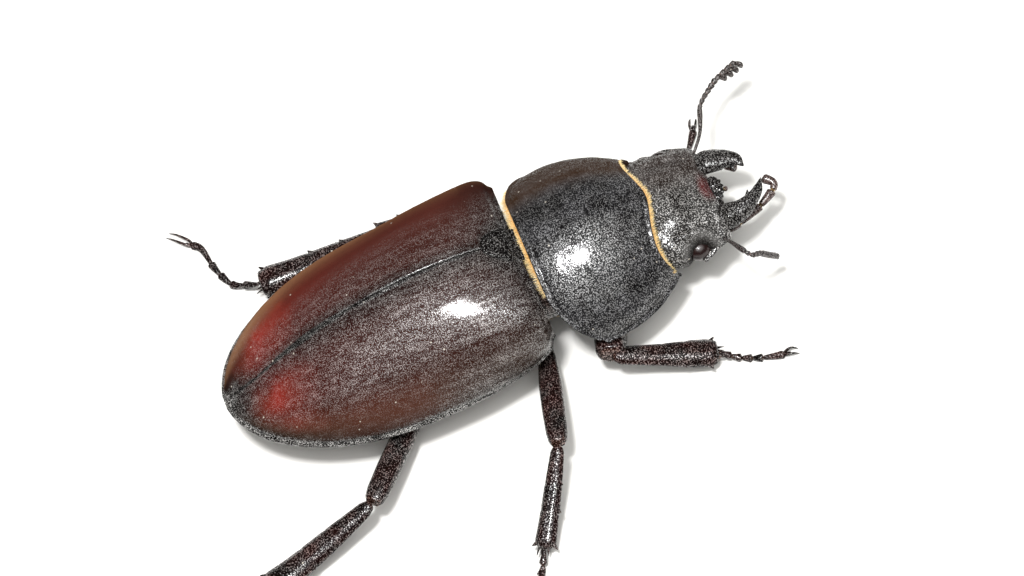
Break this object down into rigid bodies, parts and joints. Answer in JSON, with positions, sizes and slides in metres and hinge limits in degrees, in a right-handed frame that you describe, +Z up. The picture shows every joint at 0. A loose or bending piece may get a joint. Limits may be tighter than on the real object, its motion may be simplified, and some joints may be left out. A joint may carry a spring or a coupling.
{
  "type": "stag beetle, adult female, museum model",
  "caption": "Life-size still model of a female stag beetle standing on its six feet, with chestnut wing cases, a domed black shield and head, short biting jaws and elbowed feelers.",
  "frame": {"origin": "centre of the bounding box, on the floor under the feet", "axes": "+Z up, -Y toward the head, +X toward the beetle's left side"},
  "size_m": [0.041, 0.051, 0.0104],
  "materials": {
    "wing_case": "chestnut chitin, finely pitted, satin with a gloss over the domes",
    "black_shell": "black chitin, pitted, satin",
    "underside": "brown-black chitin, satin",
    "leg": "brown-black chitin, pitted, satin",
    "eye": "dark red-brown, glossy",
    "mouthpart": "red-brown chitin, satin",
    "feeler": "dark brown chitin, satin"
  },
  "bodies": {
    "root": {"abdomen": "underside", "chest": "underside", "club_l": "feeler", "club_r": "feeler", "eye_l": "eye", "eye_r": "eye", "front_claw_l": "leg", "front_claw_r": "leg", "front_coxa_l": "leg", "front_coxa_r": "leg", "front_femur_l": "leg", "front_femur_r": "leg", "front_tarsus_l": "leg", "front_tarsus_r": "leg", "front_tibia_l": "leg", "front_tibia_r": "leg", "funicle_l": "feeler", "funicle_r": "feeler", "head": "black_shell", "hind_claw_l": "leg", "hind_claw_r": "leg", "hind_coxa_l": "leg", "hind_coxa_r": "leg", "hind_femur_l": "leg", "hind_femur_r": "leg", "hind_tarsus_l": "leg", "hind_tarsus_r": "leg", "hind_tibia_l": "leg", "hind_tibia_r": "leg", "labial_palp_l": "mouthpart", "labial_palp_r": "mouthpart", "labrum": "mouthpart", "mandible_l": "black_shell", "mandible_r": "black_shell", "maxillary_palp_l": "mouthpart", "maxillary_palp_r": "mouthpart", "mentum": "mouthpart", "middle_claw_l": "leg", "middle_claw_r": "leg", "middle_coxa_l": "leg", "middle_coxa_r": "leg", "middle_femur_l": "leg", "middle_femur_r": "leg", "middle_tarsus_l": "leg", "middle_tarsus_r": "leg", "middle_tibia_l": "leg", "middle_tibia_r": "leg", "pronotum": "black_shell", "scape_l": "feeler", "scape_r": "feeler", "scutellum": "black_shell", "throat": "underside", "wing_case_l": "wing_case", "wing_case_r": "wing_case"}
  },
  "joints": []
}
